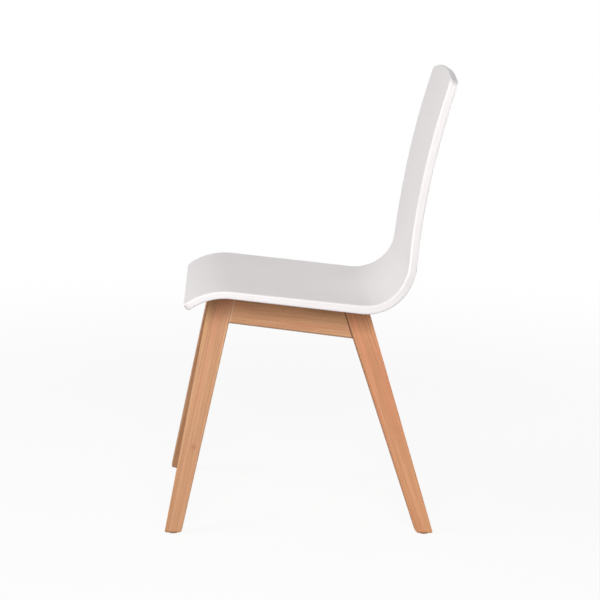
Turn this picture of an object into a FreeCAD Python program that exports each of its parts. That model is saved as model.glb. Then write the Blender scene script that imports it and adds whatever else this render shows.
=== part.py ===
import FreeCAD, Part
import Sketcher
import math
import os

from FreeCAD import Placement, Rotation, Vector

# Shell chair: one white moulded shell on a beech base with splayed legs.
# Millimetres. The sitter faces -Y, +X is the sitter's left, +Z is up.
# Pieces are drawn with the feet centred on Y = 0 and moved at the end, so that
# the origin lies on the floor under the middle of the whole chair.

doc = FreeCAD.newDocument("shell_chair")
sheet = doc.addObject("Spreadsheet::Sheet", "Sizes")

SIZES = [
    # Shell, side view
    ("seat_low", 440.7, "height of the lowest line of the seat surface, at the rear bend"),
    ("bend_y", 122.7, "centre of the rear bend, rearwards of the middle of the feet"),
    ("bend_radius", 80.0, "inner radius of the bend from seat to back"),
    ("seat_slope", 5.85, "fall of the seat towards the rear, degrees"),
    ("seat_flat", 248.0, "straight length of the seat"),
    ("roll_radius", 125.0, "upper radius of the rolled front edge"),
    ("roll_drop", 38.85, "slope of the rolled edge at its front end, degrees"),
    ("back_lean", 5.15, "lean of the back where it leaves the bend, degrees"),
    ("back_radius", 1640.0, "gentle curve of the back, front surface"),
    ("back_turn", 12.94, "how far the back turns rearwards up to its top, degrees"),
    ("seat_wall", 14.5, "shell thickness in the seat"),
    ("back_wall", 17.0, "shell thickness in the back"),
    # Shell, outline
    ("seat_front_width", 424.0, "width at the front edge"),
    ("seat_rear_width", 412.0, "width where the sides start to draw in"),
    ("back_width", 305.0, "width of the back"),
    ("waist_start", 25.0, "start of the draw in, ahead of the bend"),
    ("waist_end", 94.0, "end of the draw in, above the bend"),
    ("top_arch", 860.0, "radius of the arched top edge"),
    ("top_bevel", 14.0, "how far the top edge falls rearwards from square, degrees"),
    ("top_corner", 14.0, "radius of the top corners"),
    ("front_corner", 12.0, "radius of the front corners"),
    ("shell_ease", 3.5, "rounding of the shell's edges"),
    # Base
    ("foot_spread", 454.2, "outside width over the feet at the floor"),
    ("frame_top_width", 141.0, "outside width over the side frames at frame_height"),
    ("frame_height", 450.0, "height at which frame_top_width is measured"),
    ("leg_board", 22.0, "thickness of the legs across the chair"),
    ("leg_foot_width", 31.6, "width of a leg at the floor, side view"),
    ("leg_top_width", 50.4, "width of a leg at the top of its blank, side view"),
    ("leg_blank", 500.0, "length of a leg's blank along the side frame"),
    ("front_foot_y", -241.1, "middle of the front foot"),
    ("front_top_y", -141.4, "middle of the front leg at the top of its blank"),
    ("rear_foot_y", 241.1, "middle of the rear foot"),
    ("rear_top_y", 90.3, "middle of the rear leg at the top of its blank"),
    ("leg_ease", 2.0, "rounding of the legs' long edges"),
    ("foot_chamfer", 3.0, "chamfer round the sole of a leg"),
    ("rail_board", 20.0, "thickness of a side rail"),
    ("frame_depth", 68.0, "depth from the shell's underside to the bottom of the side rails"),
    ("cross_board", 24.0, "thickness of a cross rail"),
    ("cross_depth", 48.0, "depth of a cross rail"),
    ("rail_ease", 1.5, "rounding of the rails' lower edges"),
    # Joints in the base
    ("dowel_radius", 4.0, "beech dowels"),
    ("dowel_length", 36.0, "beech dowels"),
    ("glue_gap", 0.1, "radial room round a dowel or a fastener"),
    ("end_gap", 1.0, "room past the end of a dowel or a fastener"),
    ("side_dowel_depth", 15.0, "first side rail dowel, below the frame's top"),
    ("side_dowel_pitch", 30.0, "from the first side rail dowel to the second"),
    ("cross_dowel_depth", 13.0, "first cross rail dowel, below the frame's top"),
    ("cross_dowel_pitch", 22.0, "from the first cross rail dowel to the second"),
    ("rail_skin", 5.5, "wood left in a side rail past the hole of a cross rail dowel"),
    # Seat bars and what holds the shell
    ("bar_thick", 4.0, "steel seat bar"),
    ("bar_wide", 30.0, "steel seat bar"),
    ("bar_end", 16.0, "from a shell bolt to the end of its bar"),
    ("bar_inset", 30.0, "from the edge of a leg, at the frame's top, to the middle of the bar"),
    ("pad_thick", 2.0, "rubber pad between bar and shell"),
    ("pad_size", 28.0, "side of the square pad"),
    ("bolt_span", 200.0, "between the shell bolts, across the chair"),
    ("bolt_radius", 3.0, "M6 bolt"),
    ("bolt_length", 16.0, "M6 bolt"),
    ("bolt_head_radius", 5.25, "button head"),
    ("bolt_head_high", 3.3, "button head"),
    ("socket_flats", 4.0, "hexagon socket, across flats"),
    ("socket_deep", 2.0, "hexagon socket"),
    ("bolt_room", 0.3, "radial room of a bolt in bar and pad"),
    ("washer_radius", 7.0, "washer"),
    ("washer_thick", 1.2, "washer"),
    ("insert_radius", 4.5, "threaded insert, outside"),
    ("insert_length", 10.0, "threaded insert"),
    ("screw_span", 48.0, "between the bar screws, across the chair"),
    ("screw_radius", 2.0, "wood screw"),
    ("screw_length", 26.0, "wood screw"),
    ("screw_head_radius", 4.2, "countersunk head"),
    ("screw_head_high", 2.2, "countersunk head"),
    ("screw_head_taper", 44.0, "countersunk head, degrees"),
    ("screw_tip_long", 4.0, "tapered tip"),
    ("screw_tip_taper", 22.0, "tapered tip, degrees"),
    # Feet
    ("glide_radius", 9.0, "nylon glide"),
    ("glide_thick", 2.0, "nylon glide"),
    ("glide_ease", 0.7, "rounding of the glide's rim"),
    ("nail_radius", 1.0, "glide nail"),
    ("nail_length", 16.0, "glide nail"),
    ("nail_head_radius", 3.0, "glide nail"),
    ("nail_head_high", 0.9, "glide nail"),
    # Cutting outlines
    ("spare", 60.0, "how far a cutting outline reaches past what it cuts"),
]

for row, (name, number, note) in enumerate(SIZES, start=1):
    sheet.set(f"A{row}", name)
    sheet.set(f"B{row}", str(number))
    sheet.set(f"C{row}", note)
    sheet.setAlias(f"B{row}", name)
doc.recompute()


class Size:
    """A length or an angle in degrees, as a formula over the cells of the sheet."""

    def __init__(self, text):
        self.text = str(text)

    def __str__(self):
        return self.text

    def __add__(self, other):
        return Size(f"({self} + {other})")

    def __radd__(self, other):
        return Size(f"({other} + {self})")

    def __sub__(self, other):
        return Size(f"({self} - {other})")

    def __rsub__(self, other):
        return Size(f"({other} - {self})")

    def __mul__(self, other):
        return Size(f"({self} * {other})")

    def __rmul__(self, other):
        return Size(f"({other} * {self})")

    def __truediv__(self, other):
        return Size(f"({self} / {other})")

    def __neg__(self):
        return Size(f"(-1 * {self})")

    @property
    def value(self):
        result = sheet.evalExpression(self.text)
        return float(getattr(result, "Value", result))


def call(function, inner):
    return Size(f"{function}({inner})")


def sin(angle):
    return call("sin", angle)


def cos(angle):
    return call("cos", angle)


def sqrt(number):
    return call("sqrt", number)


def degrees(function, number):
    """An inverse function, such as atan, as a plain number of degrees."""
    return Size(f"({function}({number}) / 1deg)")


def cell(name):
    return Size(f"Sizes.{name}")


def along(start, direction, distance):
    """The point that lies a distance from start, in a direction of two parts."""
    return (start[0] + direction[0] * distance, start[1] + direction[1] * distance)


# Side view of the shell, as (Y, Z)
slope = cell("seat_slope")
bend_centre = (cell("bend_y"), cell("seat_low") + cell("bend_radius"))
seat_up = (sin(slope), cos(slope))
seat_forward = (-cos(slope), sin(slope))
seat_rear = along(bend_centre, seat_up, -cell("bend_radius"))
seat_front = along(seat_rear, seat_forward, cell("seat_flat"))
roll_centre = along(seat_front, seat_up, -cell("roll_radius"))
roll_end = (-sin(cell("roll_drop")), cos(cell("roll_drop")))

# The underside touches the same two bends, and falls a little more steeply than
# the seat because the wall grows towards the back.
centres_apart = sqrt(cell("seat_flat") * cell("seat_flat")
                     + (cell("roll_radius") + cell("bend_radius"))
                     * (cell("roll_radius") + cell("bend_radius")))
radii_above = cell("roll_radius") + cell("bend_radius")
radii_below = radii_above - cell("seat_wall") + cell("back_wall")
under_slope = slope + degrees("asin", radii_below / centres_apart) \
    - degrees("asin", radii_above / centres_apart)
under_up = (sin(under_slope), cos(under_slope))
under_front = along(roll_centre, under_up, cell("roll_radius") - cell("seat_wall"))
under_rear = along(bend_centre, under_up, -(cell("bend_radius") + cell("back_wall")))

lean = cell("back_lean")
lean_out = (cos(lean), -sin(lean))
back_centre = along(bend_centre, lean_out, cell("bend_radius") + cell("back_radius"))
top_lean = lean + cell("back_turn")

# Side frames: two flat frames that lean towards each other
foot_half = cell("foot_spread") / 2
frame_top_half = cell("frame_top_width") / 2
splay = degrees("atan", (foot_half - frame_top_half) / cell("frame_height"))
frame_gap = cell("bar_thick") + cell("pad_thick")
frame_top_front = along(under_front, under_up, -frame_gap)


def board_inside(depth):
    """X of a plane of the left side frame at the floor, at a depth below its outer face."""
    return foot_half - depth / cos(splay)


def board_point(up, depth):
    """(X, Z) on the left side frame, at a length up its outer face and a depth below it."""
    return (foot_half - up * sin(splay) - depth * cos(splay),
            up * cos(splay) - depth * sin(splay))


def leg_edge(end, edge):
    """Y of the front (-1) or rear (1) edge of a leg at the floor, and its gain per length of blank."""
    foot = cell(f"{end}_foot_y") + cell("leg_foot_width") / 2 * edge
    top = cell(f"{end}_top_y") + cell("leg_top_width") / 2 * edge
    return foot, (top - foot) / cell("leg_blank")


def joint_edge(end):
    """The leg edge that a side rail meets: its Y at the floor, and its gain per length of blank."""
    return leg_edge(end, 1 if end == "front" else -1)


def up_the_joint(end, below, depth):
    """Length up the frame where the joint's edge lies below the shell's flat underside."""
    foot, gain = joint_edge(end)
    fall = sin(under_slope) / cos(under_slope)
    level = under_front[1] + (under_front[0] - foot) * fall - below / cos(under_slope)
    return (level + depth * sin(splay)) / (cos(splay) + gain * fall)


def bar_along(end):
    """Middle of a seat bar, rearwards along the shell's underside from its flat part's front."""
    foot, gain = joint_edge(end)
    joint_y = foot + gain * up_the_joint(end, frame_gap, Size(0))
    joint_along = (joint_y - under_front[0] + frame_gap * sin(under_slope)) / cos(under_slope)
    return joint_along + cell("bar_inset") if end == "front" else joint_along - cell("bar_inset")


def set_expressions(thing, **bound):
    for path, size in bound.items():
        thing.setExpression(path.replace("__", "."), str(size))


def new_body(label):
    body = doc.addObject("PartDesign::Body", label)
    body.Label = label
    body.AllowCompound = True
    return body


def new_sketch(body, name, role, base=(0, 0, 0), tilt=0):
    """A sketch on one of the body's origin planes, moved by base and tilted about its own x."""
    plane = [one for one in body.Origin.OriginFeatures if one.Role == role][0]
    sketch = body.newObject("Sketcher::SketchObject", name)
    sketch.AttachmentSupport = [(plane, "")]
    sketch.MapMode = "FlatFace"
    sketch.AttachmentOffset = Placement(Vector(0, 0, 0), Rotation(Vector(1, 0, 0), 1))
    set_expressions(sketch, AttachmentOffset__Base__x=base[0], AttachmentOffset__Base__y=base[1],
                    AttachmentOffset__Base__z=base[2], AttachmentOffset__Rotation__Angle=tilt)
    return sketch


def under_sketch(body, name, below=0):
    """A sketch parallel to the shell's flat underside: x across, y rearwards from its front end."""
    start = along(under_front, under_up, -Size(below))
    return new_sketch(body, name, "XY_Plane", (0, start[0], start[1]), -under_slope)


def board_sketch(body, name, side, depth):
    """A sketch on a plane of a side frame: x is Y, y runs up the frame from the floor."""
    x, z = board_point(0, depth)
    return new_sketch(body, name, "YZ_Plane", (0, z, x * side), -splay * side)


def plain(size):
    return size.value if isinstance(size, Size) else float(size)


def bind(sketch, constraint, size):
    index = sketch.addConstraint(constraint)
    sketch.setExpression(f"Constraints[{index}]", str(size))


def draw_loop(sketch, corners):
    """A closed outline of corners (x, y). A third value bends the edge that follows round a
    centre (x, y, radius); the edge then turns the short way."""
    points = [Vector(plain(one[0]), plain(one[1]), 0) for one in corners]
    ends = []
    for number, corner in enumerate(corners):
        start = points[number]
        end = points[(number + 1) % len(corners)]
        if len(corner) == 2:
            edge = sketch.addGeometry(Part.LineSegment(start, end))
            ends.append((edge, 1, 2))
            continue
        centre = Vector(plain(corner[2][0]), plain(corner[2][1]), 0)
        radius = corner[2][2]
        first = math.atan2(start.y - centre.y, start.x - centre.x)
        last = math.atan2(end.y - centre.y, end.x - centre.x)
        turn = (last - first) % math.tau
        circle = Part.Circle(centre, Vector(0, 0, 1), plain(radius))
        if turn < math.pi:
            edge = sketch.addGeometry(Part.ArcOfCircle(circle, first, first + turn))
            ends.append((edge, 1, 2))
        else:
            edge = sketch.addGeometry(Part.ArcOfCircle(circle, last, last + math.tau - turn))
            ends.append((edge, 2, 1))
        bind(sketch, Sketcher.Constraint("Radius", edge, plain(radius)), radius)
    for number, corner in enumerate(corners):
        edge, start, _ = ends[number]
        before, _, end = ends[number - 1]
        sketch.addConstraint(Sketcher.Constraint("Coincident", before, end, edge, start))
        place = points[number]
        bind(sketch, Sketcher.Constraint("DistanceX", -1, 1, edge, start, place.x), corner[0])
        bind(sketch, Sketcher.Constraint("DistanceY", -1, 1, edge, start, place.y), corner[1])


def draw_circle(sketch, spot, radius):
    centre = Vector(plain(spot[0]), plain(spot[1]), 0)
    circle = sketch.addGeometry(Part.Circle(centre, Vector(0, 0, 1), plain(radius)))
    bind(sketch, Sketcher.Constraint("Radius", circle, plain(radius)), radius)
    bind(sketch, Sketcher.Constraint("DistanceX", -1, 1, circle, 3, centre.x), spot[0])
    bind(sketch, Sketcher.Constraint("DistanceY", -1, 1, circle, 3, centre.y), spot[1])


def rectangle(middle, half_wide, half_long):
    x, y = middle
    return [(x - half_wide, y - half_long), (x + half_wide, y - half_long),
            (x + half_wide, y + half_long), (x - half_wide, y + half_long)]


def add_pad(body, name, sketch, length, down=False, both=False, taper=None):
    """Extrudes a sketch's outline; a taper draws its sides in by that many degrees."""
    pad = body.newObject("PartDesign::Pad", name)
    pad.Profile = sketch
    pad.Reversed = down
    pad.SideType = "Symmetric" if both else "One side"
    pad.setExpression("Length", str(length))
    if taper:
        pad.setExpression("TaperAngle", str(-taper))
    doc.recompute()
    return pad


def check_smaller(body, before, name):
    if not body.Shape.Volume < before:
        raise RuntimeError(f"{body.Label}: {name} cuts nothing")


def add_pocket(body, name, sketch, length=None, flip=False):
    """Cuts a sketch's outline to a depth, or right through both ways."""
    before = body.Shape.Volume
    pocket = body.newObject("PartDesign::Pocket", name)
    pocket.Profile = sketch
    pocket.Reversed = flip
    if length is None:
        pocket.Type = "ThroughAll"
        pocket.SideType = "Symmetric"
    else:
        pocket.setExpression("Length", str(length))
    doc.recompute()
    check_smaller(body, before, name)
    return pocket


def edges_where(feature, test):
    return [f"Edge{number}" for number, edge in enumerate(feature.Shape.Edges, start=1) if test(edge)]


def add_dress(body, kind, name, feature, edges, size):
    """A fillet or a chamfer on the edges of the body's last feature."""
    dress = body.newObject(f"PartDesign::{kind}", name)
    dress.Base = (feature, edges)
    dress.setExpression("Radius" if kind == "Fillet" else "Size", str(size))
    doc.recompute()
    if not edges or not dress.Shape.isValid():
        raise RuntimeError(f"{body.Label}: {name} fails on {edges}")
    return dress


def drill(body, name, placing, radius, height):
    """A round hole along the Z of a placing."""
    before = body.Shape.Volume
    hole = body.newObject("PartDesign::SubtractiveCylinder", name)
    hole.MapMode = "Deactivated"
    set_expressions(hole, Placement=placing, Radius=radius, Height=height)
    doc.recompute()
    check_smaller(body, before, name)


def placing(base, turn):
    """The formula of a placement: a base of three sizes, and a turn about Y and then about X."""
    x, y, z = base
    about_y, about_x = turn
    return f"placement(vector({x}; {y}; {z}); rotationy({about_y}) * rotationx({about_x}))"


SIDES = {"left": 1, "right": -1}
END_NAMES = ("front", "rear")

BAR_ALONG = {end: bar_along(end) for end in END_NAMES}


def spots(span, ends=END_NAMES):
    """Pairs of places on the middle lines of the bars, a span apart across the chair."""
    return [(cell(span) / 2 * side, BAR_ALONG[end]) for end in ends for side in SIDES.values()]


def make_shell():
    """One panel, bent in side view, trimmed at its sides and top, with its edges eased."""
    body = new_body("seat_shell")
    spare_lean = top_lean + degrees("asin", cell("top_corner") / cell("back_radius"))
    lean_spare = (-cos(spare_lean), sin(spare_lean))
    back_outer = cell("back_radius") - cell("back_wall")
    side = new_sketch(body, "shell_side", "YZ_Plane")
    draw_loop(side, [
        (*along(roll_centre, roll_end, cell("roll_radius")), (*roll_centre, cell("roll_radius"))),
        seat_front,
        (*seat_rear, (*bend_centre, cell("bend_radius"))),
        (*along(bend_centre, lean_out, cell("bend_radius")), (*back_centre, cell("back_radius"))),
        along(back_centre, lean_spare, cell("back_radius")),
        (*along(back_centre, lean_spare, back_outer), (*back_centre, back_outer)),
        (*along(bend_centre, lean_out, cell("bend_radius") + cell("back_wall")),
         (*bend_centre, cell("bend_radius") + cell("back_wall"))),
        under_rear,
        (*under_front, (*roll_centre, cell("roll_radius") - cell("seat_wall"))),
        along(roll_centre, roll_end, cell("roll_radius") - cell("seat_wall")),
    ])
    add_pad(body, "shell_panel", side, cell("seat_front_width") + cell("spare"), both=True)
    trim_shell_sides(body)
    trim_shell_top(body)
    ease_shell(body)
    holes = under_sketch(body, "insert_holes")
    for spot in spots("bolt_span"):
        draw_circle(holes, spot, cell("insert_radius") + cell("glue_gap"))
    add_pocket(body, "insert_pockets", holes, cell("insert_length") + cell("end_gap") / 2, flip=True)
    return body


def trim_shell_sides(body):
    """Cuts the plan outline square to the middle of the bend, where the sides draw in."""
    cut_tilt = (lean + 90 - slope) / 2

    def cut_place(point):
        return point[0] * cos(cut_tilt) + point[1] * sin(cut_tilt)

    start = cut_place(seat_rear) - cell("waist_start")
    end = cut_place(along(bend_centre, lean_out, cell("bend_radius"))) + cell("waist_end")
    front = cut_place(along(roll_centre, roll_end, cell("roll_radius"))) - cell("spare")
    top = cut_place(back_centre) + cell("back_radius")
    front_half = cell("seat_front_width") / 2
    rear_half = cell("seat_rear_width") / 2
    back_half = cell("back_width") / 2
    sketch = new_sketch(body, "shell_outline", "XY_Plane", tilt=cut_tilt)
    draw_loop(sketch, rectangle((0, (front + top) / 2), front_half + cell("spare"),
                                (top - front) / 2 + cell("spare")))
    draw_waisted_loop(sketch, {front: front_half, start: rear_half, end: back_half, top: back_half})
    add_pocket(body, "shell_sides", sketch)


def draw_waisted_loop(sketch, half_widths):
    """Half widths by level, from the front to the top. Straight seat sides run on into an S of two
    equal arcs, between the second level and the third, and those into a straight back."""
    front, start, end, top = half_widths
    rear_half = half_widths[start]
    back_half = half_widths[end]
    drop = (rear_half - back_half).value
    rise = (end - start).value
    radius = (drop * drop + rise * rise) / (4 * drop)
    turn = math.asin(rise / 2 / radius)
    upwards = Vector(0, 0, 1)
    straights = {}
    for side in SIDES.values():
        low = Part.Circle(Vector(side * (rear_half.value - radius), start.value, 0), upwards, radius)
        high = Part.Circle(Vector(side * (back_half.value + radius), end.value, 0), upwards, radius)
        if side > 0:
            low_arc = sketch.addGeometry(Part.ArcOfCircle(low, 0, turn))
            high_arc = sketch.addGeometry(Part.ArcOfCircle(high, math.pi, math.pi + turn))
            joins = {"low": (1, 2), "high": (2, 1)}
        else:
            low_arc = sketch.addGeometry(Part.ArcOfCircle(low, math.pi - turn, math.pi))
            high_arc = sketch.addGeometry(Part.ArcOfCircle(high, -turn, 0))
            joins = {"low": (2, 1), "high": (1, 2)}
        for levels in ((front, start), (end, top)):
            corners = [Vector(side * half_widths[level].value, level.value, 0) for level in levels]
            straight = sketch.addGeometry(Part.LineSegment(*corners))
            straights[side, levels] = straight
            for which, level in enumerate(levels, start=1):
                x = half_widths[level] * side
                bind(sketch, Sketcher.Constraint("DistanceX", -1, 1, straight, which, x.value), x)
                bind(sketch, Sketcher.Constraint("DistanceY", -1, 1, straight, which, level.value), level)
        for tangent in ((straights[side, (front, start)], 2, low_arc, joins["low"][0]),
                        (low_arc, joins["low"][1], high_arc, joins["high"][0]),
                        (high_arc, joins["high"][1], straights[side, (end, top)], 1)):
            sketch.addConstraint(Sketcher.Constraint("Tangent", *tangent))
        sketch.addConstraint(Sketcher.Constraint("Equal", low_arc, high_arc))
    for levels, which, level in (((front, start), 1, front), ((end, top), 2, top)):
        half = half_widths[level].value
        line = sketch.addGeometry(Part.LineSegment(Vector(half, level.value, 0),
                                                   Vector(-half, level.value, 0)))
        for place, side in enumerate(SIDES.values(), start=1):
            sketch.addConstraint(Sketcher.Constraint("Coincident", line, place,
                                                     straights[side, levels], which))


def trim_shell_top(body):
    """Cuts the arched top edge, which falls rearwards from square to the back."""
    arch = cell("top_arch")
    fall = top_lean + cell("top_bevel")
    crown = back_centre[0] * sin(fall) + back_centre[1] * cos(fall) \
        - cell("back_radius") * sin(cell("top_bevel"))
    wide = cell("back_width") / 2 + cell("top_corner")
    spring = crown - arch + sqrt(arch * arch - wide * wide)
    sketch = new_sketch(body, "shell_arch", "XZ_Plane", tilt=-fall)
    draw_loop(sketch, [
        (wide, spring, (0, crown - arch, arch)),
        (-wide, spring),
        (-wide, crown + cell("spare")),
        (wide, crown + cell("spare")),
    ])
    add_pocket(body, "shell_top", sketch)


def ease_shell(body):
    """Rounds the four corners of the panel, then all of its edges."""
    through = cell("back_wall").value * 1.5
    near = cell("spare").value
    top_height = body.Shape.BoundBox.ZMax
    front_y = body.Shape.BoundBox.YMin

    def is_corner(edge):
        ends = [one.Point for one in edge.Vertexes]
        return len(ends) == 2 and edge.Length < through and abs(ends[0].x - ends[1].x) < 1

    def at_top(edge):
        return is_corner(edge) and edge.CenterOfMass.z > top_height - near

    def at_front(edge):
        return is_corner(edge) and edge.CenterOfMass.y < front_y + near

    def on_rim(edge):
        return edge.CenterOfMass.x != 0 and not is_corner(edge)

    top = add_dress(body, "Fillet", "top_corners", body.Tip, edges_where(body.Tip, at_top),
                    cell("top_corner"))
    front = add_dress(body, "Fillet", "front_corners", top, edges_where(top, at_front),
                      cell("front_corner"))
    add_dress(body, "Fillet", "shell_edges", front, edges_where(front, on_rim), cell("shell_ease"))


def clear_of_shell(body):
    """Cuts off what stands above the frame's top, which follows the shell at frame_gap below it."""
    radius = cell("roll_radius") - cell("seat_wall") - frame_gap
    low_end = (roll_centre[0] - radius, roll_centre[1])
    line_end = along(frame_top_front, (cos(under_slope), -sin(under_slope)),
                     cell("rear_foot_y") - frame_top_front[0])
    high = cell("leg_blank") + cell("spare")
    sketch = new_sketch(body, "above_frame", "YZ_Plane")
    draw_loop(sketch, [
        (*low_end, (*roll_centre, radius)),
        frame_top_front,
        line_end,
        (line_end[0], high),
        (low_end[0], high),
    ])
    add_pocket(body, "frame_top", sketch)


def off_the_floor(body):
    """Cuts the sole of a leg level, a glide's thickness above the floor."""
    reach = cell("rear_foot_y") - cell("front_foot_y")
    sketch = new_sketch(body, "below_sole", "YZ_Plane")
    draw_loop(sketch, rectangle((0, cell("glide_thick") - cell("spare")), reach, cell("spare")))
    add_pocket(body, "sole", sketch)


def foot_spot(end, side):
    """The middle of a leg's sole, as (X, Y)."""
    sole = cell("glide_thick")
    x = board_inside(cell("leg_board") / 2) - sole * sin(splay) / cos(splay)
    up = (sole + cell("leg_board") / 2 * sin(splay)) / cos(splay)
    y = cell(f"{end}_foot_y") + (cell(f"{end}_top_y") - cell(f"{end}_foot_y")) * up / cell("leg_blank")
    return x * side, y


def side_dowel_placings(side):
    """The start of each dowel between a side rail and its legs, and its direction."""
    placings = []
    half = cell("dowel_length") / 2
    for end in END_NAMES:
        foot, gain = joint_edge(end)
        turn = degrees("atan", gain)
        towards_rail = 1 if end == "front" else -1
        for number in range(2):
            below = frame_gap + cell("side_dowel_depth") + cell("side_dowel_pitch") * number
            up = up_the_joint(end, below, cell("leg_board") / 2)
            start_y = foot + gain * up - half * cos(turn) * towards_rail
            x, z = board_point(up + half * sin(turn) * towards_rail, cell("leg_board") / 2)
            placings.append((f"{end}_{number + 1}", (x * side, start_y, z),
                             (-splay * side, -(90 + turn) if end == "front" else 90 - turn)))
    return placings


# How far a cross rail dowel enters its side rail and its cross rail
rail_bite = cell("rail_board") - cell("rail_skin") - cell("end_gap")
cross_bite = cell("dowel_length") - rail_bite


def cross_dowel_placings(end, side):
    """The start of each dowel between a cross rail and a side rail, and its direction."""
    placings = []
    inner = (cell("leg_board") + cell("rail_board")) / 2
    for number in range(2):
        depth = frame_gap + cell("cross_dowel_depth") + cell("cross_dowel_pitch") * number
        start = along(under_front, under_up, -depth)
        y, z = along(start, (cos(under_slope), -sin(under_slope)), BAR_ALONG[end])
        x = board_inside(inner) - z * sin(splay) / cos(splay)
        base = ((x - cross_bite * cos(splay)) * side, y, z - cross_bite * sin(splay))
        placings.append((f"{end}_{number + 1}", base, ((90 - splay) * side, Size(0))))
    return placings


def hole_for(body, name, base, turn, back_off, length):
    """A dowel hole: the dowel's axis, started a little before it and of the given length."""
    about_y, about_x = turn
    direction = (sin(about_y) * cos(about_x), -sin(about_x), cos(about_y) * cos(about_x))
    start = [base[number] - direction[number] * back_off for number in range(3)]
    drill(body, name, placing(start, turn), cell("dowel_radius") + cell("glue_gap"), length)


def make_leg(end, name, side):
    """A tapered board in the plane of a side frame."""
    body = new_body(f"{end}_{name}_leg")
    front_foot, front_gain = leg_edge(end, -1)
    rear_foot, rear_gain = leg_edge(end, 1)
    blank = cell("leg_blank")
    outline = board_sketch(body, "leg_outline", side, Size(0))
    draw_loop(outline, [
        (front_foot, 0),
        (rear_foot, 0),
        (rear_foot + rear_gain * blank, blank),
        (front_foot + front_gain * blank, blank),
    ])
    add_pad(body, "leg_board", outline, cell("leg_board"), down=side > 0)
    off_the_floor(body)
    sole = cell("glide_thick").value
    rim = edges_where(body.Tip, lambda edge: all(abs(one.Z - sole) < 0.01 for one in edge.Vertexes))
    chamfer = add_dress(body, "Chamfer", "sole_chamfer", body.Tip, rim, cell("foot_chamfer"))
    long_edges = edges_where(chamfer, lambda edge: edge.Length > cell("leg_blank").value / 2)
    add_dress(body, "Fillet", "leg_edges", chamfer, long_edges, cell("leg_ease"))
    clear_of_shell(body)
    nail = new_sketch(body, "nail_hole", "XY_Plane", (0, 0, cell("glide_thick")))
    draw_circle(nail, foot_spot(end, side), cell("nail_radius") + cell("glue_gap"))
    add_pocket(body, "nail_pocket", nail, cell("nail_length"), flip=True)
    for label, base, turn in side_dowel_placings(side):
        if label.startswith(end):
            hole_for(body, f"dowel_hole_{label}", base, turn, cell("end_gap"),
                     cell("dowel_length") / 2 + cell("end_gap") * 2)
    return body


def make_side_rail(name, side):
    """A board between two legs, set back a little from their faces."""
    body = new_body(f"{name}_side_rail")
    set_back = (cell("leg_board") - cell("rail_board")) / 2
    front_foot, front_gain = joint_edge("front")
    rear_foot, rear_gain = joint_edge("rear")
    front_up = up_the_joint("front", cell("frame_depth"), set_back)
    rear_up = up_the_joint("rear", cell("frame_depth"), set_back)
    blank = cell("leg_blank")
    outline = board_sketch(body, "rail_outline", side, set_back)
    draw_loop(outline, [
        (front_foot + front_gain * front_up, front_up),
        (rear_foot + rear_gain * rear_up, rear_up),
        (rear_foot + rear_gain * blank, blank),
        (front_foot + front_gain * blank, blank),
    ])
    add_pad(body, "rail_board", outline, cell("rail_board"), down=side > 0)
    clear_of_shell(body)
    depth = cell("frame_depth").value
    lowest = body.Shape.BoundBox.ZMin + depth
    ease = edges_where(body.Tip, lambda edge: edge.Length > depth * 2
                       and edge.CenterOfMass.z < lowest)
    add_dress(body, "Fillet", "rail_edges", body.Tip, ease, cell("rail_ease"))
    for label, base, turn in side_dowel_placings(side):
        hole_for(body, f"dowel_hole_{label}", base, turn, -cell("dowel_length") / 2 + cell("end_gap"),
                 cell("dowel_length") / 2 + cell("end_gap") * 2)
    for end in END_NAMES:
        for label, base, turn in cross_dowel_placings(end, side):
            hole_for(body, f"cross_hole_{label}", base, turn, cell("end_gap") - cross_bite,
                     rail_bite + cell("end_gap") * 2)
    return body


def make_cross_rail(end):
    """A board between the side rails, its ends cut to their lean."""
    body = new_body(f"{end}_cross_rail")
    plan = under_sketch(body, "rail_plan", frame_gap)
    draw_loop(plan, rectangle((0, BAR_ALONG[end]), foot_half, cell("cross_board") / 2))
    add_pad(body, "cross_board", plan, cell("cross_depth"), down=True)
    inner = (cell("leg_board") + cell("rail_board")) / 2
    low = under_front[1] - cell("frame_depth") * 2
    high = under_front[1] + frame_gap
    gain = sin(splay) / cos(splay)
    ends = new_sketch(body, "rail_ends", "XZ_Plane")
    for side in SIDES.values():
        draw_loop(ends, [
            ((board_inside(inner) - low * gain) * side, low),
            (foot_half * 2 * side, low),
            (foot_half * 2 * side, high),
            ((board_inside(inner) - high * gain) * side, high),
        ])
    add_pocket(body, "lean_cuts", ends)
    screws = under_sketch(body, "screw_holes", frame_gap)
    for spot in spots("screw_span", [end]):
        draw_circle(screws, spot, cell("screw_radius") + cell("glue_gap"))
    add_pocket(body, "screw_pockets", screws, cell("screw_length") - cell("bar_thick") + cell("end_gap"))
    for name, side in SIDES.items():
        for label, base, turn in cross_dowel_placings(end, side):
            hole_for(body, f"dowel_hole_{name}_{label}", base, turn, cell("end_gap"),
                     cross_bite + cell("end_gap") * 2)
    return body


def make_dowels(label, placings):
    """Plain beech dowels, as a group."""
    pins = []
    for name, base, turn in placings:
        pin = doc.addObject("Part::Cylinder", f"{label}_{name}")
        set_expressions(pin, Placement=placing(base, turn), Radius=cell("dowel_radius"),
                        Height=cell("dowel_length"))
        pins.append(pin)
    group = doc.addObject("Part::Compound", label)
    group.Label = label
    group.Links = pins
    doc.recompute()
    return group


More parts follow.
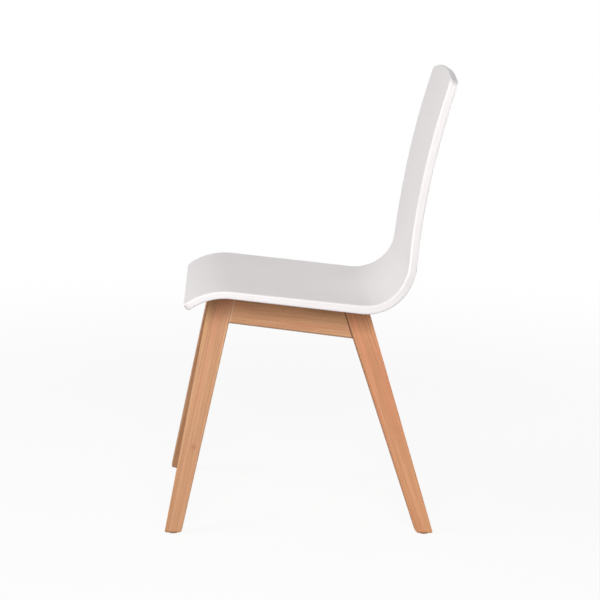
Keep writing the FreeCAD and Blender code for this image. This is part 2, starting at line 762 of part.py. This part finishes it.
def make_bar(end):
    """A flat steel bar across the frame, bolted to the shell and screwed to the cross rail."""
    body = new_body(f"{end}_seat_bar")
    plan = under_sketch(body, "bar_plan", frame_gap)
    draw_loop(plan, rectangle((0, BAR_ALONG[end]), cell("bolt_span") / 2 + cell("bar_end"),
                              cell("bar_wide") / 2))
    for spot in spots("bolt_span", [end]):
        draw_circle(plan, spot, cell("bolt_radius") + cell("bolt_room"))
    for spot in spots("screw_span", [end]):
        draw_circle(plan, spot, cell("screw_radius") + cell("glue_gap"))
    bar = add_pad(body, "bar_plate", plan, cell("bar_thick"))
    screw_rim = cell("screw_radius").value + cell("glue_gap").value
    top_z = (under_front[1] - cell("pad_thick")).value
    rims = edges_where(bar, lambda edge: hasattr(edge.Curve, "Radius")
                       and abs(edge.Curve.Radius - screw_rim) < 0.01
                       and is_upper(edge, top_z))
    add_dress(body, "Chamfer", "countersinks", bar, rims, cell("screw_head_high") + cell("glue_gap"))
    return body


def is_upper(edge, top_front):
    """True for an edge in the plane that starts at top_front and falls with the underside."""
    middle = edge.CenterOfMass
    front = under_front[0].value
    fall = math.tan(math.radians(under_slope.value))
    return middle.z > top_front - (middle.y - front) * fall - 1


def make_pad(end, name, side):
    body = new_body(f"{end}_{name}_pad")
    spot = (cell("bolt_span") / 2 * side, BAR_ALONG[end])
    plan = under_sketch(body, "pad_plan", cell("pad_thick"))
    draw_loop(plan, rectangle(spot, cell("pad_size") / 2, cell("pad_size") / 2))
    draw_circle(plan, spot, cell("bolt_radius") + cell("bolt_room"))
    add_pad(body, "pad_sheet", plan, cell("pad_thick"))
    return body


def make_inserts():
    body = new_body("shell_inserts")
    plan = under_sketch(body, "insert_plan")
    for spot in spots("bolt_span"):
        draw_circle(plan, spot, cell("insert_radius"))
        draw_circle(plan, spot, cell("bolt_radius") + cell("glue_gap"))
    add_pad(body, "insert_sleeves", plan, cell("insert_length"))
    return body


def make_washers():
    body = new_body("shell_washers")
    plan = under_sketch(body, "washer_plan", frame_gap)
    for spot in spots("bolt_span"):
        draw_circle(plan, spot, cell("washer_radius"))
        draw_circle(plan, spot, cell("bolt_radius") + cell("bolt_room"))
    add_pad(body, "washer_rings", plan, cell("washer_thick"), down=True)
    return body


def make_bolts():
    """Button head bolts with hexagon sockets, as a group."""
    body = new_body("shell_bolts")
    seat = frame_gap + cell("washer_thick")
    shanks = under_sketch(body, "shank_plan", seat)
    heads = under_sketch(body, "head_plan", seat)
    sockets = under_sketch(body, "socket_plan", seat + cell("bolt_head_high"))
    corner = cell("socket_flats") / 2 / cos(30)
    for spot in spots("bolt_span"):
        draw_circle(shanks, spot, cell("bolt_radius"))
        draw_circle(heads, spot, cell("bolt_head_radius"))
        draw_loop(sockets, [(spot[0] + corner * cos(60 * number), spot[1] + corner * sin(60 * number))
                            for number in range(6)])
    add_pad(body, "shanks", shanks, cell("bolt_length"))
    head = add_pad(body, "heads", heads, cell("bolt_head_high"), down=True)
    head_radius = cell("bolt_head_radius").value
    under_head = plain((under_front[1] - seat) - cell("bolt_head_high") / 2)
    rims = edges_where(head, lambda edge: hasattr(edge.Curve, "Radius")
                       and abs(edge.Curve.Radius - head_radius) < 0.01
                       and not is_upper(edge, under_head + 1))
    add_dress(body, "Fillet", "head_domes", head, rims, cell("bolt_head_high") / 2)
    add_pocket(body, "sockets", sockets, cell("socket_deep"), flip=True)
    return body


def make_screws():
    """Countersunk wood screws through the bars into the cross rails, as a group."""
    body = new_body("bar_screws")
    top = cell("pad_thick")
    heads = under_sketch(body, "head_plan", top)
    shanks = under_sketch(body, "shank_plan", top)
    straight = cell("screw_length") - cell("screw_tip_long")
    tips = under_sketch(body, "tip_plan", top + straight)
    for spot in spots("screw_span"):
        draw_circle(heads, spot, cell("screw_head_radius"))
        draw_circle(shanks, spot, cell("screw_radius"))
        draw_circle(tips, spot, cell("screw_radius"))
    add_pad(body, "heads", heads, cell("screw_head_high"), down=True, taper=cell("screw_head_taper"))
    add_pad(body, "shanks", shanks, straight, down=True)
    add_pad(body, "tips", tips, cell("screw_tip_long"), down=True, taper=cell("screw_tip_taper"))
    return body


def make_glide(end, name, side):
    body = new_body(f"{end}_{name}_glide")
    spot = foot_spot(end, side)
    disc = new_sketch(body, "glide_plan", "XY_Plane")
    draw_circle(disc, spot, cell("glide_radius"))
    draw_circle(disc, spot, cell("nail_radius") + cell("glue_gap"))
    pad = add_pad(body, "glide_disc", disc, cell("glide_thick"))
    radius = cell("glide_radius").value
    rim = edges_where(pad, lambda edge: hasattr(edge.Curve, "Radius")
                      and abs(edge.Curve.Radius - radius) < 0.01 and edge.CenterOfMass.z < 0.01)
    add_dress(body, "Fillet", "glide_rim", pad, rim, cell("glide_ease"))
    recess = new_sketch(body, "head_recess", "XY_Plane")
    draw_circle(recess, spot, cell("nail_head_radius") + cell("glue_gap"))
    add_pocket(body, "recess", recess, cell("nail_head_high") + cell("glue_gap") * 2, flip=True)
    return body


def make_nails():
    """Flat headed nails up through the glides into the legs, as a group."""
    body = new_body("glide_nails")
    sunk = cell("glue_gap")
    heads = new_sketch(body, "head_plan", "XY_Plane", (0, 0, sunk))
    shanks = new_sketch(body, "shank_plan", "XY_Plane", (0, 0, sunk))
    for end in END_NAMES:
        for side in SIDES.values():
            draw_circle(heads, foot_spot(end, side), cell("nail_head_radius"))
            draw_circle(shanks, foot_spot(end, side), cell("nail_radius"))
    add_pad(body, "heads", heads, cell("nail_head_high"))
    add_pad(body, "shanks", shanks, cell("nail_length"))
    return body


nodes = [make_shell(), make_inserts()]
for end_name in END_NAMES:
    for side_name, side_sign in SIDES.items():
        nodes.append(make_leg(end_name, side_name, side_sign))
        nodes.append(make_pad(end_name, side_name, side_sign))
        nodes.append(make_glide(end_name, side_name, side_sign))
    nodes.append(make_cross_rail(end_name))
    nodes.append(make_bar(end_name))
for side_name, side_sign in SIDES.items():
    nodes.append(make_side_rail(side_name, side_sign))
nodes.append(make_dowels("side_rail_dowels", [
    (f"{side_name}_{label}", base, turn) for side_name, side_sign in SIDES.items()
    for label, base, turn in side_dowel_placings(side_sign)]))
nodes.append(make_dowels("cross_rail_dowels", [
    (f"{side_name}_{label}", base, turn) for side_name, side_sign in SIDES.items()
    for end_name in END_NAMES for label, base, turn in cross_dowel_placings(end_name, side_sign)]))
nodes.extend([make_washers(), make_bolts(), make_screws(), make_nails()])

# The origin goes to the middle of the chair's length
length_box = FreeCAD.BoundBox()
for node in nodes:
    length_box.add(node.Shape.BoundBox)
for node in nodes:
    node.Placement = Placement(Vector(0, -length_box.Center.y, 0), Rotation())
doc.recompute()

for thing in doc.Objects:
    if {"Invalid", "Error"} & set(thing.State):
        raise RuntimeError(f"{thing.Name} failed: {thing.State}")
os.makedirs("parts", exist_ok=True)
for node in nodes:
    if node.Shape.isNull() or not node.Shape.isValid():
        raise RuntimeError(f"{node.Label} has no valid shape")
    node.Shape.exportStep(f"parts/{node.Label}.step")
    box = node.Shape.BoundBox
    print(f"{node.Label}: {len(node.Shape.Solids)} solids, {node.Shape.Volume / 1000:.2f} cm3, "
          f"{box.XLength:.1f} x {box.YLength:.1f} x {box.ZLength:.1f} mm")
print(f"moved by {-length_box.Center.y:.2f} mm in Y; splay {splay.value:.2f} degrees; "
      f"underside falls {under_slope.value:.2f} degrees")
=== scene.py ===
# %% [markdown]
# # A white shell chair on beech legs
# The chair has two visible parts: one thick white shell that bends from seat to back,
# and a beech base of four splayed legs with rails between them. Under the seat there are
# two flat steel bars, rubber pads, bolts and screws. The CAD model already has every
# shape at its real size, so this scene is mostly about finishes, light and the camera.

# %% Load the chair
import math

import bpy
from mathutils import Matrix, Vector

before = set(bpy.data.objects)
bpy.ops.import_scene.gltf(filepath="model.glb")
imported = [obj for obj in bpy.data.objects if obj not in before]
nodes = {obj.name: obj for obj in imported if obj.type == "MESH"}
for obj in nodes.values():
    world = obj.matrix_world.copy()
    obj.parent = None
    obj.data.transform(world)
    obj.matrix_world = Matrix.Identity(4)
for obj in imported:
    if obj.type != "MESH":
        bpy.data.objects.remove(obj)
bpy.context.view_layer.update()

# %% [markdown]
# ## The camera
# The picture was taken from the chair's left side, from a little above the seat. The
# camera could be placed by eye, but a few pixels' error in a leg's slope would show.
# Instead the feet, the two edges of the seat and the two edges of the back fix its place
# and lens. The lens is long, so the near and far edges stay almost parallel.

# %% Place the camera
CAMERA_PLACE = (3.645, -0.16065, 1.1546)
CAMERA_HEADING = 87.696   # degrees about Z; 90 would look straight along -X
CAMERA_PITCH = 11.547     # degrees below the horizon
CAMERA_ROLL = 0.867       # degrees
SENSOR_WIDTH = 36         # millimetres, as is the lens
LENS = 112.8
SEEN_DISTANCE = 200       # metres, past the floor's far edge
bpy.ops.object.camera_add(location=CAMERA_PLACE)
camera = bpy.context.object
camera.name = "photo_camera"
camera.data.sensor_width = SENSOR_WIDTH
camera.data.lens = LENS
camera.data.clip_end = SEEN_DISTANCE
heading = Matrix.Rotation(math.radians(CAMERA_HEADING), 3, "Z")
pitch = Matrix.Rotation(math.radians(90 - CAMERA_PITCH), 3, "X")
roll = Matrix.Rotation(math.radians(CAMERA_ROLL), 3, "Z")
camera.rotation_euler = (heading @ pitch @ roll).to_euler()
bpy.context.scene.camera = camera
bpy.context.scene.view_settings.view_transform = "Standard"
print("camera at", CAMERA_PLACE, "lens", camera.data.lens)

# %% [markdown]
# ## Shader maths as plain sums
# A finish is a small sum: this much grain, plus that much fleck. Wiring Math nodes by
# hand hides the sum, so a small class wraps a socket and lets Python's own signs add
# the nodes. Everything else goes through one method that adds a node of any type.

# %% A value in a node tree
class Value:
    """One output socket of a node, which can be added, multiplied and compared."""

    def __init__(self, graph, socket):
        self.graph = graph
        self.socket = socket

    def maths(self, operation, other):
        return self.graph.add("ShaderNodeMath", "Value", {0: self, 1: other}, operation=operation)

    def __add__(self, other):
        return self.maths("ADD", other)

    __radd__ = __add__

    def __mul__(self, other):
        return self.maths("MULTIPLY", other)

    __rmul__ = __mul__

    def __sub__(self, other):
        return self.maths("SUBTRACT", other)

    def __rsub__(self, other):
        return self * -1 + other

    def larger(self, other):
        return self.maths("MAXIMUM", other)

    def step(self, low, high):
        """0 below low, 1 above high, smooth in between."""
        inputs = {"Value": self, "From Min": low, "From Max": high}
        return self.graph.add("ShaderNodeMapRange", "Result", inputs, interpolation_type="SMOOTHSTEP")

    def beside(self, output):
        """Another output of the same node."""
        return Value(self.graph, self.socket.node.outputs[output])


# %% A node tree
def in_use(sockets, name):
    """A socket by its number or name. A hidden one with the same name is passed over."""
    if isinstance(name, int):
        return sockets[name]
    return [socket for socket in sockets if socket.name == name and socket.enabled][0]


class Graph:
    """The nodes of a material or of the world, and the one way to add to them."""

    def __init__(self, tree):
        self.tree = tree

    def add(self, kind, output, inputs, **settings):
        """Adds a node, gives it its settings and inputs, and returns one of its outputs."""
        node = self.tree.nodes.new(kind)
        for name, value in settings.items():
            setattr(node, name, value)
        for name, value in inputs.items():
            self.put(in_use(node.inputs, name), value)
        return Value(self, in_use(node.outputs, output))

    def put(self, socket, value):
        if isinstance(value, Value):
            self.tree.links.new(value.socket, socket)
        elif socket.type == "RGBA":
            socket.default_value = (*value, 1)
        else:
            socket.default_value = value

    def show(self, node, shader):
        """Shows a shader through the tree's output node."""
        self.put(self.tree.nodes[node].inputs["Surface"], shader)


# %% A finish
class Finish(Graph):
    """A new material with one Principled shader."""

    def __init__(self, name, **plain):
        self.material = bpy.data.materials.new(name)
        self.material.use_nodes = True
        super().__init__(self.material.node_tree)
        self.shader = self.tree.nodes["Principled BSDF"]
        for socket, value in plain.items():
            self.shader.inputs[socket.replace("_", " ")].default_value = value
        self.place = self.add("ShaderNodeTexCoord", "Object", {})

    def feed(self, socket, value):
        self.put(self.shader.inputs[socket], value)

    def noise(self, place, scale, detail=2.0, roughness=0.5):
        """Soft noise about 0.5. The scale is in patches per metre."""
        inputs = {"Vector": place, "Scale": scale, "Detail": detail, "Roughness": roughness}
        return self.add("ShaderNodeTexNoise", "Fac", inputs)

    def layers(self, value, scale, detail=2.0):
        """Noise that changes with one value only, as layers do."""
        inputs = {"W": value, "Scale": scale, "Detail": detail}
        return self.add("ShaderNodeTexNoise", "Fac", inputs, noise_dimensions="1D")

    def stretched(self, place, scale):
        """The place, scaled by a different amount along each of its axes."""
        return self.add("ShaderNodeMapping", "Vector", {"Vector": place, "Scale": scale})

    def vector_number(self, operation, first, *second):
        """A number from one or two vectors, such as a length."""
        inputs = dict(enumerate((first, *second)))
        return self.add("ShaderNodeVectorMath", "Value", inputs, operation=operation)

    def mix_colour(self, share, first, second):
        inputs = {"Factor": share, "A": first, "B": second}
        return self.add("ShaderNodeMix", "Result", inputs, data_type="RGBA")

    def bump(self, height, distance):
        """Fine relief: height in shares of distance, which is in metres."""
        self.feed("Normal", self.add("ShaderNodeBump", "Normal", {"Height": height, "Distance": distance}))

    def give(self, *names):
        for name in names:
            slots = nodes[name].data.materials
            slots.clear()
            slots.append(self.material)
        print(self.material.name, "on", ", ".join(names))


# %% [markdown]
# ## The shell's satin white
# The shell is one smooth white panel with a satin sheen. Such a surface is never
# perfectly flat: a sprayed or moulded skin has a very fine texture, like the peel of an
# orange, and the sheen varies slowly over a hand's width. A modelled texture would need
# millions of faces, so it is a small bump, and the slow change goes to roughness and,
# very faintly, to the colour.

# %% Satin white
SHELL_WHITE = (0.885, 0.842, 0.846)
SHELL_WHITE_SHADE = (0.858, 0.815, 0.815)
HAND_WIDTH = 6.0      # scales of noise, in patches per metre
ORANGE_PEEL = 900.0
DUST = 2600.0
PEEL_DEPTH = 0.00006  # metres
satin = Finish("satin_white", IOR=1.5, Specular_IOR_Level=0.45)
slow = satin.noise(satin.place, HAND_WIDTH)
peel = satin.noise(satin.place, ORANGE_PEEL, roughness=0.45)
dust = satin.noise(satin.place, DUST, detail=1.0)
satin.feed("Base Color", satin.mix_colour(slow, SHELL_WHITE, SHELL_WHITE_SHADE))
satin.feed("Roughness", 0.38 + slow * 0.06 + dust * 0.05)
satin.bump(peel * 0.8 + dust * 0.2, PEEL_DEPTH)
satin.give("seat_shell")

# %% [markdown]
# ## Beech
# Beech is pale, warm and even, with fine straight grain and short brown flecks where
# the rays come to the surface. A flat picture of wood would run over every edge alike,
# so the pattern is solid: growth rings are layers across the board, and every face, the
# ends as well, shows what a saw would. Each board gets its own copy, turned so that the
# grain runs along it, and its own tone, because no two boards are from one tree. The far
# front leg's paler, cooler tone is also painted reflection of the white surroundings.

# %% Colours of beech
BEECH_LIGHT = (0.67, 0.365, 0.195)
BEECH_MID = (0.57, 0.275, 0.134)
BEECH_DEEP = (0.41, 0.165, 0.074)
BEECH_ROSE = (0.60, 0.245, 0.125)
BEECH_OCHRE = (0.56, 0.300, 0.122)
BEECH_FLECK = (0.30, 0.115, 0.050)
BEECH_AMBER = (0.50, 0.215, 0.090)

# %% Scales of the grain, in patches per metre: across the board twice, then along it
SWAY = (6, 6, 1.6)
PATCH = (14, 14, 5)
HUE = (60, 60, 4)
STREAK = (190, 190, 4.5)
FIBRE = (900, 900, 22)
FLECK = (620, 620, 150)
FLECK_GROUP = (260, 260, 60)
RING = 420.0
RING_BAND = 90.0
GRAIN_DEPTH = 0.00005   # metres
AMBER_HEIGHTS = (0.05, 0.36)   # a leg's deeper tone fades out between these, in metres


# %% Turn a board's pattern
def board_turn(grain, face):
    """The turn that brings a board's grain to Z and the normal of its wide face to X."""
    along = Vector(grain).normalized()
    out = Vector(face)
    out = (out - along * out.dot(along)).normalized()
    return Matrix((out, along.cross(out), along)).to_euler()


def toned(colour, tone):
    return tuple(part * change for part, change in zip(colour, tone))


# %% What the saw shows
def grain_tone(wood, turned):
    """Light and dark of the growth rings, which sway a little along the board."""
    sway = wood.noise(wood.stretched(turned, SWAY), 1.0)
    across = wood.add("ShaderNodeSeparateXYZ", "Y", {"Vector": turned})
    rings = across + across.beside("X") * 0.35 + across.beside("Z") * 0.006 + sway * 0.010
    streak = wood.noise(wood.stretched(turned, STREAK), 1.0)
    tone = wood.layers(rings, RING) * 0.35 + wood.layers(rings, RING_BAND, detail=1.0) * 0.20
    return (tone + streak * 0.45).step(0.38, 0.62)


def ray_flecks(wood, turned):
    """Short flecks in loose groups: 1 on a fleck, 0 beside it."""
    cells = wood.add("ShaderNodeTexVoronoi", "Distance", {
        "Vector": wood.stretched(turned, FLECK), "Scale": 1.0, "Randomness": 1.0})
    group = wood.noise(wood.stretched(turned, FLECK_GROUP), 1.0, detail=1.0)
    return (1 - cells.step(0.16, 0.34)) * group.step(0.46, 0.62)


# %% One board of beech
class Board(Finish):
    """A board's own beech. tone shifts all its colours, low_end deepens it towards the
    floor, and figure is the strength of its grain."""

    def __init__(self, name, grain, face, offset, tone=(1, 1, 1), low_end=0.0, figure=1.0):
        super().__init__(name, IOR=1.5, Specular_IOR_Level=0.28)
        light, mid, deep, rose, ochre, dark, amber = [toned(colour, tone) for colour in (
            BEECH_LIGHT, BEECH_MID, BEECH_DEEP, BEECH_ROSE, BEECH_OCHRE, BEECH_FLECK, BEECH_AMBER)]
        turned = self.add("ShaderNodeMapping", "Vector", {
            "Vector": self.place, "Rotation": board_turn(grain, face), "Location": offset})
        fibre = self.noise(self.stretched(turned, FIBRE), 1.0)
        hue = self.noise(self.stretched(turned, HUE), 1.0, detail=1.0)
        patch = self.noise(self.stretched(turned, PATCH), 1.0, detail=1.0)
        flecks = ray_flecks(self, turned)
        height = self.add("ShaderNodeSeparateXYZ", "Z", {"Vector": self.place})
        self.colour = self.mix_colour(grain_tone(self, turned), deep, light)
        self.stain(1 - figure * (0.75 - patch * 0.25), mid)
        self.stain(hue.step(0.52, 0.70) * 0.55, rose)
        self.stain((1 - hue.step(0.30, 0.46)) * 0.50, ochre)
        self.stain(fibre.step(0.50, 0.72) * 0.20, deep)
        self.stain((1 - height.step(*AMBER_HEIGHTS)) * low_end, amber)
        self.stain(flecks * 0.42, dark)
        self.feed("Roughness", 0.46 + fibre * 0.10 + flecks * 0.06)
        self.bump(fibre * 0.6 - flecks * 0.4, GRAIN_DEPTH)

    def stain(self, share, colour):
        """Takes a share of the board's colour towards another one."""
        self.colour = self.mix_colour(share, self.colour, colour)
        self.feed("Base Color", self.colour)


# %% [markdown]
# ## Legs
# A leg leans outwards both ways, so its grain is neither upright nor along an axis. Its
# direction could be copied from the drawing, but it is read from the leg's own mesh, so
# that it stays right. The near front leg has a small reddish pin knot, which is painted:
# a knot this small doesn't change the surface.

# %% A pin knot
KNOT_RED = (0.40, 0.13, 0.058)
KNOT_PLACE = (0.1728, -0.2205, 0.156)


def pin_knot(wood, spot, wide, tall):
    """A soft reddish patch with a ragged edge, wide and tall from its middle."""
    sizes = (1 / wide, 1 / wide, 1 / tall)
    middle = tuple(-part * size for part, size in zip(spot, sizes))
    near = wood.add("ShaderNodeMapping", "Vector", {
        "Vector": wood.place, "Location": middle, "Scale": sizes})
    ragged = wood.vector_number("LENGTH", near) + wood.noise(near, 1.6, detail=3.0) * 0.7 - 0.35
    wood.stain((1 - ragged.step(0.2, 1.0)) * 0.5, KNOT_RED)


# %% The direction of each leg
END_REACH = 0.02    # metres of a leg's top that count as its end
SOLE_REACH = 0.005  # metres of its foot


def leg_line(name):
    """Middle of a leg's foot and of its top, from its own mesh."""
    points = [vertex.co for vertex in nodes[name].data.vertices]
    low = min(point.z for point in points)
    high = max(point.z for point in points)
    foot = [point for point in points if point.z < low + SOLE_REACH]
    head = [point for point in points if point.z > high - END_REACH]
    return [sum(group, Vector()) / len(group) for group in (foot, head)]


# %% Beech on the legs
# Each leg's own tone. The far front leg's paler, cooler tone is painted reflection of the white
# surroundings.
LEG_TONES_AND_REFLECTION = {
    "front_left_leg": (0.99, 1.03, 1.04), "front_right_leg": (1.02, 1.08, 1.15),
    "rear_left_leg": (1.10, 1.03, 0.95), "rear_right_leg": (1.04, 1.01, 0.98)}
FRONT_LOW_END = 0.35
for number, (name, tone) in enumerate(sorted(LEG_TONES_AND_REFLECTION.items())):
    foot, head = leg_line(name)
    side = 1 if foot.x > 0 else -1
    splay = math.atan2(abs(foot.x - head.x), head.z - foot.z)
    print(name, "splay", round(math.degrees(splay), 2), "degrees")
    face = (side * math.cos(splay), 0, math.sin(splay))
    offset = (0.31 * number, 0.17 * number, 0.23 * number)
    low_end = FRONT_LOW_END if name.startswith("front") else 0.0
    wood = Board(name + "_beech", head - foot, face, offset, tone=tone, low_end=low_end)
    if name == "front_left_leg":
        pin_knot(wood, KNOT_PLACE, wide=0.008, tall=0.009)
    wood.give(name)

# %% [markdown]
# ## Rails
# The side rails are paler and calmer than the legs. Where a rail meets a leg, a fine
# line shows: at the rear it is painted shade in the joint, at the front a painted
# highlight where the eased edge catches the light. Neither is cut into the mesh. The
# line runs along the rail's slanted end, found from the rail's own corners, and is
# about 1 mm wide.

# %% The slanted ends of a side rail
END_SLANT = 0.6      # leans towards the end, so that the lowest point is its corner
UPPER_EDGE = 0.04    # metres below the rail's highest point


def rail_end(name, way):
    """A low corner of the rail's rear end (way 1) or front end (way -1), and the
    direction out of that end, both in the side view."""
    points = [vertex.co for vertex in nodes[name].data.vertices]
    top = max(point.z for point in points)
    low = min(points, key=lambda point: point.z - way * END_SLANT * point.y)
    high = max((point for point in points if point.z > top - UPPER_EDGE), key=lambda point: way * point.y)
    edge = Vector((0, high.y - low.y, high.z - low.z)).normalized()
    return low, way * Vector((0, edge.z, -edge.y))


def joint_line(wood, corner, out, wide, colour, share):
    """Paints the last millimetre or so before a board's end."""
    past = wood.vector_number("DOT_PRODUCT", wood.place, out) - corner.dot(out)
    wood.stain(past.step(-wide, -wide / 2) * share, colour)


# %% Beech on the side rails
RAIL_FALL = 0.113            # how far the rails fall towards the rear, per metre
RAIL_FACE = (0.944, 0.329)   # the normal of a rail's face, outwards and upwards
RAIL_TONE = (1.05, 1.09, 1.07)
RAIL_FIGURE = 0.6
# Painted shade in the rear joint between rail and leg.
JOINT_SHADE = (0.16, 0.065, 0.035)
JOINT_SHADE_WIDE = 0.0014     # metres
# Painted highlight where the eased edge at the front joint catches the light.
EDGE_HIGHLIGHT = (0.74, 0.50, 0.34)
EDGE_HIGHLIGHT_WIDE = 0.0012
for number, (name, side) in enumerate([("left_side_rail", 1), ("right_side_rail", -1)]):
    face = (side * RAIL_FACE[0], 0, RAIL_FACE[1])
    wood = Board(name + "_beech", (0, 1, -RAIL_FALL), face, (0.11, 0.07 + 0.21 * number, 0.4),
                 tone=RAIL_TONE, figure=RAIL_FIGURE)
    rear_corner, rear_out = rail_end(name, 1)
    front_corner, front_out = rail_end(name, -1)
    print(name, "from", round(front_corner.y, 4), "to", round(rear_corner.y, 4), "along its lower edge")
    # Painted shade along the rear end, painted highlight along the front end.
    joint_line(wood, rear_corner, rear_out, JOINT_SHADE_WIDE, JOINT_SHADE, 0.9)
    joint_line(wood, front_corner, front_out, EDGE_HIGHLIGHT_WIDE, EDGE_HIGHLIGHT, 0.7)
    wood.give(name)

# %% Beech on the cross rails and dowels
ACROSS = (1, 0, 0)
for number, name in enumerate(["front_cross_rail", "rear_cross_rail"]):
    offset = (0.23, 0.37 + 0.19 * number, 0.1)
    Board(name + "_beech", ACROSS, (0, 1, -RAIL_FALL), offset).give(name)
Board("side_dowel_beech", (0, 1, -0.25), ACROSS, (0.5, 0.1, 0.2)).give("side_rail_dowels")
Board("cross_dowel_beech", (1, 0, 0.35), (0, 1, 0), (0.2, 0.5, 0.1)).give("cross_rail_dowels")

# %% [markdown]
# ## Metal, rubber and nylon
# The bars under the seat are steel with a black powder coat, which has a fine pebbled
# skin. The bolts, washers, screws and nails are bright zinc, with faint brushing. The
# pads are black sheet rubber, the inserts turned brass, and the glides brown nylon. All
# are small, so each is one or two noises: one that follows how the surface was made, in
# bump and roughness, and a slower one in the colour.

# %% Powder coat on the bars
coat = Finish("black_powder_coat", Specular_IOR_Level=0.5)
pebble = coat.noise(coat.place, 1400.0)
drift = coat.noise(coat.place, 25.0)
coat.feed("Base Color", coat.mix_colour(drift, (0.018, 0.018, 0.019), (0.030, 0.030, 0.031)))
coat.feed("Roughness", 0.38 + pebble * 0.2)
coat.bump(pebble, 0.00012)
coat.give("front_seat_bar", "rear_seat_bar")

# %% Zinc on the fasteners
zinc = Finish("bright_zinc", Metallic=1.0)
brushed = zinc.noise(zinc.stretched(zinc.place, (4000, 400, 400)), 1.0)
cloud = zinc.noise(zinc.place, 220.0, detail=3.0)
zinc.feed("Base Color", zinc.mix_colour(cloud, (0.62, 0.63, 0.64), (0.74, 0.74, 0.73)))
zinc.feed("Roughness", 0.24 + brushed * 0.14 + cloud * 0.06)
zinc.bump(brushed, 0.00002)
zinc.give("shell_bolts", "shell_washers", "bar_screws", "glide_nails")

# %% Rubber on the pads
CORNERS = ["front_left", "front_right", "rear_left", "rear_right"]
rubber = Finish("black_rubber", Specular_IOR_Level=0.3)
grit = rubber.noise(rubber.place, 1800.0)
rubber.feed("Base Color", rubber.mix_colour(grit, (0.016, 0.016, 0.016), (0.034, 0.033, 0.032)))
rubber.feed("Roughness", 0.72 + grit * 0.2)
rubber.bump(grit, 0.00010)
rubber.give(*[corner + "_pad" for corner in CORNERS])

# %% Brass on the inserts
brass = Finish("turned_brass", Metallic=1.0)
turning = brass.noise(brass.stretched(brass.place, (300, 300, 5000)), 1.0, detail=1.0)
brass.feed("Base Color", brass.mix_colour(turning, (0.70, 0.49, 0.20), (0.80, 0.60, 0.28)))
brass.feed("Roughness", 0.22 + turning * 0.2)
brass.bump(turning, 0.00002)
brass.give("shell_inserts")

# %% Nylon on the glides
nylon = Finish("brown_nylon")
cast = nylon.noise(nylon.place, 700.0)
scuff = nylon.noise(nylon.place, 160.0, detail=3.0)
nylon.feed("Base Color", nylon.mix_colour(scuff, (0.24, 0.150, 0.090), (0.33, 0.215, 0.135)))
nylon.feed("Roughness", 0.42 + scuff * 0.2)
nylon.bump(cast, 0.00006)
nylon.give(*[corner + "_glide" for corner in CORNERS])

# %% [markdown]
# ## Floor, world and light
# The picture is a plain studio one: white all round, a soft light from the camera's
# side and one from above the front of the chair, and little from overhead. More light
# would whiten the background but wash out the shell. So the floor and the world are
# white only for what the camera sees directly or in a reflection, and dimmer for the
# light they send to the chair. The shell's underside and the rails then fall into shade
# as they do in the picture. A third lamp, low behind the far side and out of reach of
# all that the picture shows, lights the back.

# %% White for the eye, dimmer as a light
WHITE = (1, 1, 1)


def seen_white(graph, plain, white, share):
    """Mixes a white shader over a plain one for camera, glossy and transmission rays."""
    rays = graph.add("ShaderNodeLightPath", "Is Camera Ray", {})
    seen = rays.larger(rays.beside("Is Glossy Ray")).larger(rays.beside("Is Transmission Ray"))
    return graph.add("ShaderNodeMixShader", "Shader", {0: seen * share, 1: plain, 2: white})


# %% Floor
FLOOR_SIZE = 120        # metres
FLOOR_BOUNCE = (0.5, 0.5, 0.5)
FLOOR_PALE = (0.92, 0.92, 0.92)
NEAR_GLOW = 0.89        # share of plain white near the chair, where its shadow shows
NEAR, FAR = 0.9, 2.6    # metres from the chair's middle; all plain white past the second
bpy.ops.mesh.primitive_plane_add(size=FLOOR_SIZE, location=(0, 0, 0))
floor = bpy.context.object
floor.name = "studio_floor"
paper = Finish("pale_floor", Roughness=1.0, Specular_IOR_Level=0.0)
camera_ray = paper.add("ShaderNodeLightPath", "Is Camera Ray", {})
paper.feed("Base Color", paper.mix_colour(camera_ray, FLOOR_BOUNCE, FLOOR_PALE))
glow = paper.add("ShaderNodeEmission", "Emission", {"Color": WHITE, "Strength": 1.0})
lit = Value(paper, paper.shader.outputs["BSDF"])
away = paper.vector_number("LENGTH", paper.place)
share = NEAR_GLOW + away.step(NEAR, FAR) * (1 - NEAR_GLOW)
paper.show("Material Output", seen_white(paper, lit, glow, share))
floor.data.materials.append(paper.material)
print("floor", FLOOR_SIZE, "m wide")

# %% World
WORLD_LIGHT = 0.12
world = bpy.data.worlds.new("studio")
world.use_nodes = True
bpy.context.scene.world = world
air = Graph(world.node_tree)
dim = air.add("ShaderNodeBackground", "Background", {"Color": WHITE, "Strength": WORLD_LIGHT})
white = air.add("ShaderNodeBackground", "Background", {"Color": WHITE, "Strength": 1.0})
air.show("World Output", seen_white(air, dim, white, 1.0))
print("world light", WORLD_LIGHT)

# %% Lamps
CHAIR_MIDDLE = Vector((0, 0, 0.5))


def soft_lamp(name, place, size, watts):
    """A rectangular softbox that faces the middle of the chair."""
    bpy.ops.object.light_add(type="AREA", location=place)
    lamp = bpy.context.object
    lamp.name = name
    lamp.data.shape = "RECTANGLE"
    lamp.data.size, lamp.data.size_y = size
    lamp.data.energy = watts
    towards = CHAIR_MIDDLE - Vector(place)
    lamp.rotation_euler = towards.to_track_quat("-Z", "Y").to_euler()
    print(name, watts, "W at", place)


soft_lamp("side_softbox", (3.1, -0.2, 1.6), (2.4, 1.2), 86)
soft_lamp("front_softbox", (0.3, -3.0, 2.3), (2.4, 1.6), 58)
soft_lamp("low_rear_fill", (-1.8, 2.9, 0.42), (2.4, 0.7), 75)
